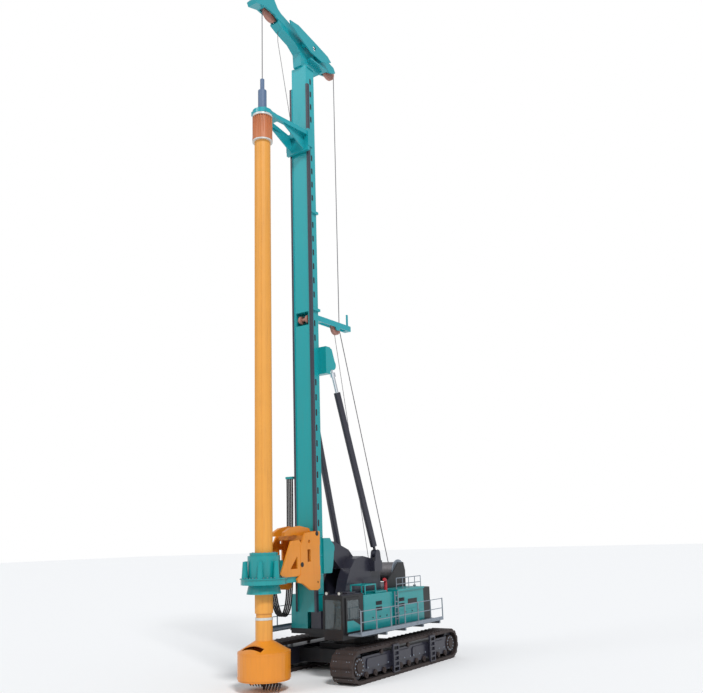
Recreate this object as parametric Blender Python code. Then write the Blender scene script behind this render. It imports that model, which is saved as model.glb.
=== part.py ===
"""Rotary piling rig: tracked carrier, leader mast, rotary drive, kelly bar and drilling bucket.

Metres, +X forward, +Y left, +Z up.  Inside the rig empty x = 0 is the slewing axis; the empty
moves the whole machine so that the origin lies under the middle of its bounding box.
"""
import math

import bmesh
import bpy
from mathutils import Matrix, Vector

GAP = 0.0003            # between faces that seat on each other
RUN = 0.008             # beside moving faces

# --- tracks and carbody -----------------------------------------------------------------------
TRACK_HALF = 4.60
TRACK_HEIGHT = 1.34
TRACK_OUTER_Y = 2.86
SHOE_WIDTH = 1.05
SHOE_COUNT = 54
GROUSER = 0.05
TRACK_THICK = 0.15
FRAME_INSET = 0.13
BEAM_X = 1.45
BEAM_HALF_WIDTH = 0.32
RING_RADIUS = 0.98
RING_BOTTOM = 1.36
RING_TOP = 1.49

# --- upper structure --------------------------------------------------------------------------
DECK_BOTTOM = 1.62
DECK_TOP = 1.84
DECK_HALF = 1.98
DECK_REAR = -3.74
DECK_FRONT = 2.28
HOOD_INNER = 1.06
HOOD_WALL = 0.06
HOOD_TOP = 3.30
FRONT_HOOD = (-0.085, 2.26)
REAR_HOOD = (-2.96, -0.50)
WALK_INNER = 2.06
WALK_OUTER = 2.72
WALK_X = (-3.50, 3.60)
RAIL_HEIGHT = 0.95
BAR = 0.04
CAB_X = (2.30, 3.85)
CAB_Y = (0.97, 1.98)
CAB_Z = (1.78, 3.38)
CAB_WALL = 0.06
DOOR_X = (2.62, 3.62)
DOOR_Z = (1.92, 3.24)
DOOR_LAP = 0.04

# --- mast and its support -----------------------------------------------------------------------
PIVOT_X = 2.54
PIVOT_Z = 5.30
PIN_RADIUS = 0.10
HEAD_HALF = 0.40
MAST_X = (3.04, 3.70)
MAST_HALF = 0.44
RAIL_X = (3.58, 3.74)
RAIL_HALF = 0.56
MAST_Z = (2.70, 16.17, 21.07, 28.90)
LEG_Y = (0.36, 0.90)
STAY_FOOT = Vector((-0.30, 1.03, 4.97))
STAY_HEAD = Vector((PIVOT_X, 0.72, 13.57))
BARREL_RADIUS = 0.155
ROD_RADIUS = 0.08
BARREL_LENGTH = 7.75
ROD_INSIDE = 0.90

# --- drive, kelly and bucket ----------------------------------------------------------------------
KELLY_X = 6.50
KELLY_RADIUS = 0.365
KELLY_BOTTOM = 2.90
KELLY_TOP = 23.60
DAMPER_TOP = 24.90
DRIVE_RADIUS = 0.93
SLEEVE_RADIUS = 0.52
DRIVE_Z = (3.64, 4.00, 4.46, 5.24)
BUCKET_RADIUS = 1.05
BUCKET_RIM = 1.48
BUCKET_FLOOR = 0.47
BUCKET_WALL = 0.03
CHEEK_Y = (0.72, 0.80)
DRIVE_DECK = 4.25
CROWN_HALF = 0.25
SHEAVE_RADIUS = 0.50
CROWN_FRONT = (KELLY_X - SHEAVE_RADIUS - 0.02, 30.74)
CROWN_REAR = (1.15, 30.00)
ARM_SHEAVE = (1.06, 15.78)
CROWD_Z = 15.70

FRAME_SHIFT = (KELLY_X + BUCKET_RADIUS - TRACK_HALF) / 2.0

COLOURS = {
    "teal": ((0.0, 0.33, 0.33), 0.35, 0.0),
    "orange": ((0.76, 0.27, 0.02), 0.38, 0.0),
    "dark_frame": ((0.025, 0.025, 0.04), 0.45, 0.0),
    "black": ((0.012, 0.012, 0.014), 0.5, 0.0),
    "track_steel": ((0.06, 0.045, 0.045), 0.6, 0.7),
    "grey": ((0.25, 0.29, 0.33), 0.45, 0.3),
    "sheave_red": ((0.38, 0.15, 0.12), 0.5, 0.0),
    "chrome": ((0.75, 0.77, 0.8), 0.15, 1.0),
    "glass": ((0.05, 0.07, 0.08), 0.08, 0.0),
    "rubber": ((0.01, 0.01, 0.011), 0.7, 0.0),
    "seat": ((0.02, 0.02, 0.022), 0.8, 0.0),
}

for old in list(bpy.data.objects):
    bpy.data.objects.remove(old)
PARTS = bpy.data.collections.new("rotary_piling_rig")
bpy.context.scene.collection.children.link(PARTS)


def material(name):
    found = bpy.data.materials.get(name)
    if found:
        return found
    colour, rough, metal = COLOURS[name]
    made = bpy.data.materials.new(name)
    made.use_nodes = True
    shader = made.node_tree.nodes["Principled BSDF"]
    shader.inputs["Base Color"].default_value = (*colour, 1.0)
    shader.inputs["Roughness"].default_value = rough
    shader.inputs["Metallic"].default_value = metal
    return made


def solid(mesh):
    made = bpy.data.objects.new("solid", mesh)
    PARTS.objects.link(made)
    return made


def from_bmesh(work):
    bmesh.ops.recalc_face_normals(work, faces=work.faces)
    mesh = bpy.data.meshes.new("solid")
    work.to_mesh(mesh)
    work.free()
    return solid(mesh)


def box(x, y, z):
    work = bmesh.new()
    size = Matrix.Diagonal((x[1] - x[0], y[1] - y[0], z[1] - z[0], 1.0))
    centre = Matrix.Translation(((x[0] + x[1]) / 2, (y[0] + y[1]) / 2, (z[0] + z[1]) / 2))
    bmesh.ops.create_cube(work, size=1.0, matrix=centre @ size)
    return from_bmesh(work)


def round_bar(radius, start, end, sides=24, end_radius=None):
    """A cylinder or cone between two points."""
    start, end = Vector(start), Vector(end)
    run = end - start
    turn = run.to_track_quat("Z", "Y").to_matrix().to_4x4()
    work = bmesh.new()
    bmesh.ops.create_cone(work, cap_ends=True, segments=sides, radius1=radius,
                          radius2=radius if end_radius is None else end_radius,
                          depth=run.length, matrix=Matrix.Translation((start + end) / 2) @ turn)
    return from_bmesh(work)


def cross_bar(radius, x, z, y, sides=20):
    return round_bar(radius, (x, y[0], z), (x, y[1], z), sides)


def upright(radius, x, y, z, sides=24, top_radius=None):
    return round_bar(radius, (x, y, z[0]), (x, y, z[1]), sides, top_radius)


def drawn(outlines, depth, place):
    """A flat outline, with holes as further outlines, given its thickness."""
    curve = bpy.data.curves.new("outline", "CURVE")
    curve.dimensions = "2D"
    curve.fill_mode = "BOTH"
    curve.extrude = (depth[1] - depth[0]) / 2
    for outline in outlines:
        spline = curve.splines.new("POLY")
        spline.points.add(len(outline) - 1)
        for point, (u, v) in zip(spline.points, outline):
            point.co = (u, v, 0.0, 1.0)
        spline.use_cyclic_u = True
    made = bpy.data.objects.new("outline", curve)
    PARTS.objects.link(made)
    graph = bpy.context.evaluated_depsgraph_get()
    mesh = bpy.data.meshes.new_from_object(made.evaluated_get(graph))
    bpy.data.objects.remove(made)
    work = bmesh.new()
    work.from_mesh(mesh)
    bmesh.ops.remove_doubles(work, verts=work.verts, dist=1e-5)
    bmesh.ops.transform(work, matrix=place, verts=work.verts)
    return from_bmesh(work)


def side_plate(outline, y, holes=()):
    """An outline of (x, z) points, thick along Y."""
    place = Matrix.Translation((0, (y[0] + y[1]) / 2, 0)) @ Matrix.Rotation(math.pi / 2, 4, "X")
    return drawn([outline, *holes], y, place)


def floor_plate(outline, z):
    """An outline of (x, y) points, thick along Z."""
    return drawn([outline], z, Matrix.Translation((0, 0, (z[0] + z[1]) / 2)))


def arc(x, z, radius, start, end, steps):
    """Points on a round stretch, angles in degrees."""
    turns = [math.radians(start + (end - start) * i / steps) for i in range(steps + 1)]
    return [(x + radius * math.cos(t), z + radius * math.sin(t)) for t in turns]


def ring_hole(x, z, radius, sides=16):
    return arc(x, z, radius, 0, 360 - 360 / sides, sides - 1)


def combine(kind, base, others, solver="EXACT"):
    for other in others:
        step = base.modifiers.new("step", "BOOLEAN")
        step.operation = kind
        step.solver = solver
        step.object = other
        graph = bpy.context.evaluated_depsgraph_get()
        mesh = bpy.data.meshes.new_from_object(base.evaluated_get(graph))
        base.modifiers.clear()
        base.data = mesh
        bpy.data.objects.remove(other)
    return base


def join(base, *others):
    return combine("UNION", base, others)


def cut(base, *others):
    return combine("DIFFERENCE", base, others)


def mirrored(make, sign):
    """The piece made for the left side, or its mirror image for the right."""
    made = make()
    if sign > 0:
        return made
    work = bmesh.new()
    work.from_mesh(made.data)
    bpy.data.objects.remove(made)
    bmesh.ops.transform(work, matrix=Matrix.Diagonal((1, -1, 1, 1)), verts=work.verts)
    bmesh.ops.reverse_faces(work, faces=work.faces)
    return from_bmesh(work)


PIVOTS = {}


def pivot(name, parent, place):
    empty = bpy.data.objects.new(name, None)
    PARTS.objects.link(empty)
    empty.empty_display_size = 0.3
    place = Vector(place)
    if parent:
        empty.parent = PIVOTS[parent][0]
        empty.location = place - PIVOTS[parent][1]
    else:
        empty.location = place - Vector((FRAME_SHIFT, 0, 0))
    PIVOTS[name] = (empty, place)


def part(name, made, finish, body):
    """Name a solid, give it its material and hang it on its joint's empty."""
    made.name = name
    made.data.name = name
    made.data.materials.clear()
    made.data.materials.append(material(finish))
    made.data.shade_smooth()
    made.data.set_sharp_from_angle(angle=math.radians(35))
    empty, place = PIVOTS[body]
    made.parent = empty
    made.location = -place


pivot("rig", None, (0, 0, 0))
pivot("upper_pivot", "rig", (0, 0, RING_TOP))
pivot("mast_pivot", "upper_pivot", (PIVOT_X, 0, PIVOT_Z))
for side, sign in (("left", 1), ("right", -1)):
    pivot("stay_pivot_" + side, "upper_pivot", (STAY_FOOT.x, sign * STAY_FOOT.y, STAY_FOOT.z))
pivot("drive_pivot", "mast_pivot", (KELLY_X, 0, DRIVE_Z[0]))
pivot("guide_pivot", "mast_pivot", (KELLY_X, 0, DAMPER_TOP))
pivot("kelly_pivot", "guide_pivot", (KELLY_X, 0, DAMPER_TOP))
pivot("door_hinge", "kelly_pivot", (KELLY_X - BUCKET_RADIUS, 0, BUCKET_FLOOR))
pivot("main_winch_axis", "upper_pivot", (-2.60, 0, 4.05))
pivot("aux_winch_axis", "upper_pivot", (-1.60, 0, 3.35))
pivot("crown_front_axis", "mast_pivot", (CROWN_FRONT[0], 0, CROWN_FRONT[1]))
pivot("crown_rear_axis", "mast_pivot", (CROWN_REAR[0], 0, CROWN_REAR[1]))
pivot("arm_sheave_axis", "mast_pivot", (ARM_SHEAVE[0], 0, ARM_SHEAVE[1]))
pivot("crowd_axis", "mast_pivot", (3.50, 0, CROWD_Z))


# --- undercarriage --------------------------------------------------------------------------------
TRACK_R = TRACK_HEIGHT / 2
TRACK_STRAIGHT = TRACK_HALF - TRACK_R


def loop_point(share, radius):
    """A point on a track loop of the given end radius; share runs once round from 0 to 1."""
    straight = 2 * TRACK_STRAIGHT
    bend = math.pi * TRACK_R
    along = (share % 1.0) * 2 * (straight + bend)
    if along < straight:
        return (-TRACK_STRAIGHT + along, TRACK_R - radius)
    along -= straight
    if along < bend:
        turn = along / TRACK_R - math.pi / 2
        return (TRACK_STRAIGHT + radius * math.cos(turn), TRACK_R + radius * math.sin(turn))
    along -= bend
    if along < straight:
        return (TRACK_STRAIGHT - along, TRACK_R + radius)
    turn = (along - straight) / TRACK_R + math.pi / 2
    return (-TRACK_STRAIGHT + radius * math.cos(turn), TRACK_R + radius * math.sin(turn))


def track():
    outer = []
    for shoe in range(SHOE_COUNT):
        outer.append(loop_point((shoe + 0.10) / SHOE_COUNT, TRACK_R - GROUSER))
        outer.append(loop_point((shoe + 0.40) / SHOE_COUNT, TRACK_R))
        outer.append(loop_point((shoe + 0.60) / SHOE_COUNT, TRACK_R))
    inner = stadium(TRACK_R - TRACK_THICK)
    return side_plate(outer, (TRACK_OUTER_Y - SHOE_WIDTH, TRACK_OUTER_Y), [inner])


def stadium(radius):
    return (arc(TRACK_STRAIGHT, TRACK_R, radius, -90, 90, 10)
            + arc(-TRACK_STRAIGHT, TRACK_R, radius, 90, 270, 10))


def track_frame():
    inner = TRACK_OUTER_Y - SHOE_WIDTH + FRAME_INSET
    outer = TRACK_OUTER_Y - FRAME_INSET
    body = box((-TRACK_STRAIGHT + 0.3, TRACK_STRAIGHT - 0.3), (inner, outer), (0.30, 1.02))
    fit = TRACK_R - TRACK_THICK - 0.0005
    wheels = [cross_bar(fit, x, TRACK_R, (inner + 0.1, outer - 0.1), 20) for x in
              (-TRACK_STRAIGHT, TRACK_STRAIGHT)]
    steps = []
    for x in (1.30, -1.90):
        bracket = box((x - 0.2, x + 0.2), (outer - 0.02, TRACK_OUTER_Y + 0.02), (0.40, 0.95))
        frame = [(x - 0.24, 0.14), (x + 0.24, 0.14), (x + 0.24, 1.26), (x - 0.24, 1.26)]
        holes = [[(x - 0.17, z), (x - 0.17, z + 0.14), (x + 0.17, z + 0.14), (x + 0.17, z)]
                 for z in (0.19 + 0.21 * i for i in range(5))]
        steps += [bracket, side_plate(frame, (TRACK_OUTER_Y + 0.01, TRACK_OUTER_Y + 0.09), holes)]
    return join(body, *wheels, *steps)


def carbody():
    reach = TRACK_OUTER_Y - SHOE_WIDTH + FRAME_INSET - GAP
    made = box((-1.20, 1.20), (-1.20, 1.20), (0.50, 1.12))
    beams = [box((x - BEAM_HALF_WIDTH, x + BEAM_HALF_WIDTH), (-reach, reach), (0.38, 0.95))
             for x in (-BEAM_X, BEAM_X)]
    return join(made, *beams, upright(RING_RADIUS + 0.04, 0, 0, (1.0, RING_BOTTOM)))


for side, sign in (("left", 1), ("right", -1)):
    part("track_" + side, mirrored(track, sign), "track_steel", "rig")
    part("track_frame_" + side, mirrored(track_frame, sign), "dark_frame", "rig")
part("carbody", carbody(), "black", "rig")
part("slew_bearing", upright(RING_RADIUS, 0, 0, (RING_BOTTOM + GAP, RING_TOP)), "grey", "rig")


# --- upper structure ------------------------------------------------------------------------------
def upper_frame():
    deck = box((DECK_REAR, DECK_FRONT), (-DECK_HALF, DECK_HALF), (DECK_BOTTOM, DECK_TOP))
    keel = box((-2.60, 2.20), (-1.05, 1.05), (RING_TOP + GAP, DECK_BOTTOM + 0.05))
    shelf = box((DECK_FRONT - 0.1, CAB_X[1]), (CAB_Y[0] + 0.05, CAB_Y[1] - 0.02),
                (DECK_BOTTOM, CAB_Z[0] - GAP))
    return join(deck, keel, shelf)


def hood(span, wall_top, lip):
    base = DECK_TOP + GAP
    shell = box(span, (HOOD_INNER, DECK_HALF), (base, wall_top))
    if lip:
        roof = box((span[0], span[1]), (HOOD_INNER, DECK_HALF + lip), (wall_top - 0.09, wall_top))
        shell = join(shell, roof)
    hollow = box((span[0] + HOOD_WALL, span[1] - HOOD_WALL),
                 (HOOD_INNER + HOOD_WALL, DECK_HALF - HOOD_WALL), (base - 0.1, wall_top - HOOD_WALL))
    return cut(shell, hollow)


def walkway(with_ladder):
    deck = box(WALK_X, (WALK_INNER, WALK_OUTER), (DECK_TOP - 0.05, DECK_TOP + 0.01))
    extra = [box((x - 0.06, x + 0.06), (DECK_HALF + GAP, WALK_OUTER - 0.1),
                 (DECK_BOTTOM + 0.02, DECK_TOP - 0.04)) for x in (-3.3, -1.7, -0.1, 1.5)]
    posts = 7
    rail = (WALK_OUTER - BAR, WALK_OUTER)
    for i in range(posts):
        x = WALK_X[0] + (WALK_X[1] - WALK_X[0] - BAR) * i / (posts - 1)
        extra.append(box((x, x + BAR), rail, (DECK_TOP, DECK_TOP + RAIL_HEIGHT)))
    for z in (DECK_TOP + RAIL_HEIGHT - BAR, DECK_TOP + RAIL_HEIGHT / 2):
        extra.append(box((WALK_X[0], WALK_X[1]), (rail[0] + 0.005, rail[1] - 0.005), (z, z + BAR - 0.01)))
    if with_ladder:
        for x in (-0.44, -0.18):
            extra.append(box((x, x + BAR), (WALK_INNER, WALK_INNER + BAR), (DECK_TOP, HOOD_TOP)))
        for i in range(5):
            z = DECK_TOP + 0.25 * (i + 1)
            extra.append(box((-0.43, -0.15), (WALK_INNER + 0.01, WALK_INNER + 0.03), (z, z + 0.03)))
    return join(deck, *extra)


def cab_shell():
    shell = box(CAB_X, CAB_Y, CAB_Z)
    wall = CAB_WALL
    room = box((CAB_X[0] + wall, CAB_X[1] - wall), (CAB_Y[0] + wall, CAB_Y[1] - wall),
               (CAB_Z[0] + wall, CAB_Z[1] - wall))
    door = box(DOOR_X, (CAB_Y[1] - 0.2, CAB_Y[1] + 0.1), DOOR_Z)
    front = box((CAB_X[1] - 0.2, CAB_X[1] + 0.1), (CAB_Y[0] + 0.08, CAB_Y[1] - 0.08), (2.05, 3.22))
    right = box((CAB_X[0] + 0.3, CAB_X[1] - 0.15), (CAB_Y[0] - 0.1, CAB_Y[0] + 0.2), (2.35, 3.22))
    shell = cut(shell, room, door, front, right)
    rail = box((1.72, CAB_X[1] - 0.1), (CAB_Y[1] + 0.0055, CAB_Y[1] + 0.055), (1.862, 1.878))
    foot = box((DOOR_X[0] - 0.2, DOOR_X[1] + 0.1), (CAB_Y[1] - 0.03, CAB_Y[1] + 0.03), (1.864, 1.876))
    return join(shell, rail, foot)


def cab_door():
    x = (DOOR_X[0] - DOOR_LAP, DOOR_X[1] + DOOR_LAP)
    y = (CAB_Y[1] + RUN, CAB_Y[1] + RUN + 0.04)
    frame = box(x, y, (1.878 + GAP, DOOR_Z[1] + DOOR_LAP))
    return cut(frame, box((x[0] + 0.1, x[1] - 0.1), (y[0] - 0.1, y[1] + 0.1), (2.40, 3.18)))


part("upper_frame", upper_frame(), "black", "upper_pivot")
FRONT_SHELL = hood(FRONT_HOOD, HOOD_TOP, 0)
RECESS = box((REAR_HOOD[1] + GAP, FRONT_HOOD[0] + 0.02), (1.72, 1.78), (DECK_TOP + GAP, HOOD_TOP - 0.1))
part("hood_front_left", join(FRONT_SHELL, RECESS), "teal", "upper_pivot")
part("hood_rear_left", hood(REAR_HOOD, HOOD_TOP + 0.06, 0.06), "teal", "upper_pivot")
part("hood_right", mirrored(lambda: hood((REAR_HOOD[0], FRONT_HOOD[1]), HOOD_TOP, 0), -1),
     "teal", "upper_pivot")
part("engine", box((-2.40, -0.70), (-1.80, -1.20), (DECK_TOP + GAP, 2.95)), "grey", "upper_pivot")
part("counterweight", floor_plate(
    [(-2.96 - GAP, -DECK_HALF), (-2.96 - GAP, DECK_HALF), (-3.60, DECK_HALF), (-3.75, DECK_HALF - 0.2),
     (-3.75, -DECK_HALF + 0.2), (-3.60, -DECK_HALF)], (DECK_TOP + GAP, HOOD_TOP)), "black", "upper_pivot")
part("walkway_left", walkway(True), "grey", "upper_pivot")
part("walkway_right", mirrored(lambda: walkway(False), -1), "grey", "upper_pivot")
part("cab", cab_shell(), "black", "upper_pivot")
part("windscreen", box((CAB_X[1] - 0.035, CAB_X[1] - 0.025),
                       (CAB_Y[0] + 0.08 + GAP, CAB_Y[1] - 0.08 - GAP), (2.05 + GAP, 3.22 - GAP)),
     "glass", "upper_pivot")
part("cab_window_right", box((CAB_X[0] + 0.3 + GAP, CAB_X[1] - 0.15 - GAP),
                             (CAB_Y[0] + 0.025, CAB_Y[0] + 0.035), (2.35 + GAP, 3.22 - GAP)),
     "glass", "upper_pivot")
SEAT = box((2.72, 3.25), (1.22, 1.72), (2.12, 2.30))
part("operator_seat", join(SEAT, box((2.85, 3.10), (1.35, 1.60), (CAB_Z[0] + CAB_WALL + GAP, 2.15)),
                           box((2.66, 2.80), (1.24, 1.70), (2.20, 3.00))), "seat", "upper_pivot")
part("control_console", join(box((3.40, 3.62), (1.10, 1.50), (CAB_Z[0] + CAB_WALL + GAP, 2.40)),
                             box((3.45, 3.55), (1.15, 1.40), (2.35, 2.65))), "black", "upper_pivot")
pivot("cab_door_slide", "upper_pivot", (DOOR_X[1], CAB_Y[1], DOOR_Z[0]))
part("cab_door", cab_door(), "black", "cab_door_slide")
part("door_window", box((DOOR_X[0] - DOOR_LAP + 0.1 + GAP, DOOR_X[1] + DOOR_LAP - 0.1 - GAP),
                        (CAB_Y[1] + RUN + 0.015, CAB_Y[1] + RUN + 0.025), (2.40 + GAP, 3.18 - GAP)),
     "glass", "cab_door_slide")


# --- winches ----------------------------------------------------------------------------------------
WINCH_PLATE = (0.96, 1.03)


def winch_frame():
    outline = [(-2.95, DECK_TOP + GAP), (-1.10, DECK_TOP + GAP), (-1.20, 3.60), (-2.00, 4.20),
               (-2.35, 4.50), (-2.80, 4.50), (-2.95, 4.10)]
    plates = [side_plate(outline, (sign * WINCH_PLATE[0], sign * WINCH_PLATE[1])[::sign])
              for sign in (1, -1)]
    tie = box((-2.90, -1.30), (-1.0, 1.0), (DECK_TOP + GAP, 2.10))
    return join(tie, *plates)


def drum(x, z, core, flange):
    half = WINCH_PLATE[0] - GAP
    return join(cross_bar(core, x, z, (-half + 0.12, half - 0.12), 32),
                cross_bar(flange, x, z, (half - 0.15, half - 0.10), 32),
                cross_bar(flange, x, z, (-half + 0.10, -half + 0.15), 32),
                cross_bar(0.14, x, z, (-half, half), 16))


part("winch_frame", winch_frame(), "black", "upper_pivot")
part("main_winch_drum", drum(-2.60, 4.05, 0.42, 0.58), "grey", "main_winch_axis")
part("aux_winch_drum", drum(-1.60, 3.35, 0.24, 0.34), "grey", "aux_winch_axis")


# --- mast support and stays -------------------------------------------------------------------------
def mast_support():
    base = DECK_TOP + GAP
    leg = [(-1.00, base), (2.20, base), (2.20, 2.60), (2.10, 3.30), (1.90, 3.90), (1.60, 4.40),
           (1.20, 4.80), (0.60, 4.90), (-0.50, 4.70), (-0.80, 4.30)]
    head = [(0.60, 4.20), (1.70, 4.40), (2.30, 4.90), *arc(PIVOT_X, PIVOT_Z, 0.32, -70, 100, 8),
            (2.10, 5.58), (1.00, 5.20), (0.60, 4.85)]
    legs = [side_plate(leg, LEG_Y), side_plate(leg, (-LEG_Y[1], -LEG_Y[0]))]
    made = join(side_plate(head, (-HEAD_HALF, HEAD_HALF)), *legs)
    made = join(made, box((-0.70, 0.10), (-HEAD_HALF, HEAD_HALF), (3.9, 4.5)),
                box((1.60, 2.10), (-HEAD_HALF, HEAD_HALF), (base, 2.30)))
    foot = STAY_FOOT
    lug = [(foot.x - 0.32, 4.25), (foot.x + 0.34, 4.25), *arc(foot.x, foot.z, 0.19, 0, 180, 8)]
    for sign in (1, -1):
        made = join(made, box((foot.x - 0.32, foot.x + 0.34),
                              (0.80, 1.175) if sign > 0 else (-1.175, -0.80), (4.20, 4.66)))
        for inner, outer in ((0.88, 0.94), (1.12, 1.175)):
            made = join(made, side_plate(lug, (inner, outer) if sign > 0 else (-outer, -inner)))
        made = join(made, cross_bar(0.055, foot.x, foot.z, tuple(sorted((sign * 0.90, sign * 1.16)))))
    return cut(made, cross_bar(PIN_RADIUS + 0.006, PIVOT_X, PIVOT_Z, (-0.6, 0.6), 32))


STAY_LENGTH = (STAY_HEAD - STAY_FOOT).length
STAY_WAY = (STAY_HEAD - STAY_FOOT).normalized()


def on_stay(distance):
    return STAY_FOOT + STAY_WAY * distance


def stay_barrel():
    eye = cross_bar(0.17, STAY_FOOT.x, STAY_FOOT.z, (0.94 + GAP, 1.11))
    neck = round_bar(0.062, on_stay(0.1), on_stay(0.40), 16)
    tube = round_bar(BARREL_RADIUS, on_stay(0.36), on_stay(BARREL_LENGTH))
    made = join(tube, neck, eye)
    bore = round_bar(ROD_RADIUS + 0.0006, on_stay(BARREL_LENGTH - ROD_INSIDE - 0.9),
                     on_stay(BARREL_LENGTH + 0.1), 16)
    return cut(made, bore, cross_bar(0.058, STAY_FOOT.x, STAY_FOOT.z, (0.8, 1.3)))


def stay_rod():
    rod = round_bar(ROD_RADIUS, on_stay(BARREL_LENGTH - ROD_INSIDE), on_stay(STAY_LENGTH - 0.40), 16)
    collar = round_bar(0.13, on_stay(STAY_LENGTH - 0.56), on_stay(STAY_LENGTH - 0.36), 16)
    neck = round_bar(0.05, on_stay(STAY_LENGTH - 0.45), on_stay(STAY_LENGTH - 0.1), 12)
    eye = cross_bar(0.16, STAY_HEAD.x, STAY_HEAD.z, (0.665, 0.775))
    made = join(rod, collar, neck, eye)
    return cut(made, cross_bar(0.10, STAY_HEAD.x, STAY_HEAD.z, (0.5, 1.0)))


part("mast_support", mast_support(), "dark_frame", "upper_pivot")
for side, sign in (("left", 1), ("right", -1)):
    part("stay_barrel_" + side, mirrored(stay_barrel, sign), "dark_frame", "stay_pivot_" + side)
    part("stay_rod_" + side, mirrored(stay_rod, sign), "chrome", "stay_pivot_" + side)


# --- mast -------------------------------------------------------------------------------------------
def mast_section(bottom, top, rail_top):
    made = box(MAST_X, (-MAST_HALF, MAST_HALF), (bottom, top))
    return join(made, *[box(RAIL_X, (sign * 0.43, sign * RAIL_HALF)[::sign], (bottom, rail_top))
                        for sign in (1, -1)])


def flange(bottom, top):
    return box((MAST_X[0] - 0.06, RAIL_X[0] - 0.04), (-RAIL_HALF + 0.03, RAIL_HALF - 0.03), (bottom, top))


def mast_lower():
    made = mast_section(MAST_Z[0], MAST_Z[1], MAST_Z[1])
    made = join(made, flange(MAST_Z[1] - 0.06, MAST_Z[1]))
    bracket = [(3.10, 4.25), (3.10, 5.75), (2.62, 5.75), *arc(PIVOT_X, PIVOT_Z, 0.27, 110, 215, 6),
               (2.40, 4.60), (2.50, 4.25)]
    lug = [(2.80, 13.34), (2.80, 14.38), (2.60, 14.30), *arc(STAY_HEAD.x, STAY_HEAD.z, 0.24, 130, 270, 8)]
    cheeks = []
    for sign in (1, -1):
        cheeks.append(side_plate(bracket, tuple(sorted((sign * 0.42, sign * 0.52)))))
        cheeks.append(cross_bar(0.17, PIVOT_X, PIVOT_Z, tuple(sorted((sign * (HEAD_HALF + GAP), sign * 0.43)))))
        for inner, outer in ((0.600, 0.635), (0.830, 0.865)):
            cheeks.append(side_plate(lug, tuple(sorted((sign * inner, sign * outer)))))
        cheeks.append(cross_bar(0.045, STAY_HEAD.x, STAY_HEAD.z, tuple(sorted((sign * 0.61, sign * 0.85))), 16))
    block = box((2.74, 3.08), (-0.865, 0.865), (13.10, 14.38))
    pin = cross_bar(PIN_RADIUS, PIVOT_X, PIVOT_Z, (-0.50, 0.50), 32)
    made = join(made, block, pin, *cheeks)
    return cut(made, box((3.26, 3.80), (-0.36, 0.36), (CROWD_Z - 0.32, CROWD_Z + 0.32)))


def mast_middle():
    made = mast_section(MAST_Z[1] + GAP, MAST_Z[2], MAST_Z[2])
    return join(made, flange(MAST_Z[1] + GAP, MAST_Z[1] + 0.06), flange(MAST_Z[2] - 0.06, MAST_Z[2]))


def mast_upper():
    made = mast_section(MAST_Z[2] + GAP, MAST_Z[3], 27.80)
    return join(made, flange(MAST_Z[2] + GAP, MAST_Z[2] + 0.06))


def crown():
    beam = [(2.60, MAST_Z[3] + GAP), (3.80, MAST_Z[3] + GAP), (3.85, 29.60), (4.30, 29.92),
            (5.20, 30.15), (5.60, 30.30), (5.45, 30.95), (4.60, 30.75), (2.90, 30.35), (1.90, 30.10),
            (1.90, 29.50)]
    made = side_plate(beam, (-CROWN_HALF, CROWN_HALF))
    nose = [(5.00, 30.35), (5.70, 30.50), *arc(CROWN_FRONT[0], CROWN_FRONT[1], 0.17, 240, 300, 3),
            (6.60, 30.62), (7.20, 30.42), (7.30, 30.60), (7.10, 30.85), (6.75, 30.87), (6.45, 31.36),
            (5.90, 31.42), (5.62, 31.05), (5.00, 30.70)]
    tail = [(2.30, 29.45), (2.30, 30.20), (1.50, 30.30), (0.95, 30.20), (0.80, 29.95), (1.20, 29.75)]
    plates = [side_plate(nose, (-CROWN_HALF - 0.012, CROWN_HALF + 0.012)),
              side_plate(tail, (-CROWN_HALF - 0.006, CROWN_HALF + 0.006))]
    platform = box((1.90, 3.30), (-0.5, 0.5), (29.40, 29.48))
    slots = [cross_bar(SHEAVE_RADIUS + 0.06, CROWN_FRONT[0], CROWN_FRONT[1],
                       (-CROWN_HALF + 0.08, CROWN_HALF - 0.08)),
             cross_bar(SHEAVE_RADIUS + 0.06, CROWN_REAR[0], CROWN_REAR[1],
                       (-CROWN_HALF + 0.08, CROWN_HALF - 0.08))]
    arm = [(2.40, 29.66), (3.36, 29.74), (4.98, 30.46), (5.03, 30.64), (4.34, 30.72), (2.92, 30.46),
           (1.90, 30.26), (1.60, 30.06)]
    aux = side_plate(arm, (0.50, 0.56), [ring_hole(3.06, 30.10, 0.13)])
    ties = [box((2.30, 2.60), (0.20, 0.52), (29.75, 30.05)), box((3.60, 3.80), (0.20, 0.52), (29.95, 30.20))]
    made = combine("UNION", made, [platform, *plates], "MANIFOLD")
    made = combine("DIFFERENCE", made, slots, "MANIFOLD")
    return combine("UNION", made, [*ties, aux], "MANIFOLD")


def sheave(x, z, radius, half, hub=0.12):
    rim = cross_bar(radius, x, z, (-0.07, 0.07), 32)
    return join(rim, cross_bar(hub, x, z, (-half, half), 16))


def rope_arm():
    z = (15.80, 16.07)
    cheeks = [box((-0.05, 3.04 - GAP), tuple(sorted((sign * 0.12, sign * 0.18))), z) for sign in (1, -1)]
    blocks = [box((2.30, 3.04 - GAP), (-0.15, 0.15), z), box((-0.05, 0.25), (-0.15, 0.15), z)]
    drop = [side_plate([(0.85, 15.85), (0.95, 15.65), (1.17, 15.65), (1.27, 15.85)],
                       tuple(sorted((sign * 0.12, sign * 0.18)))) for sign in (1, -1)]
    fork = box((-0.05, 0.05), (-0.03, 0.03), (16.05, 16.70))
    return join(blocks[0], *cheeks, blocks[1], *drop, fork)


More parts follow.
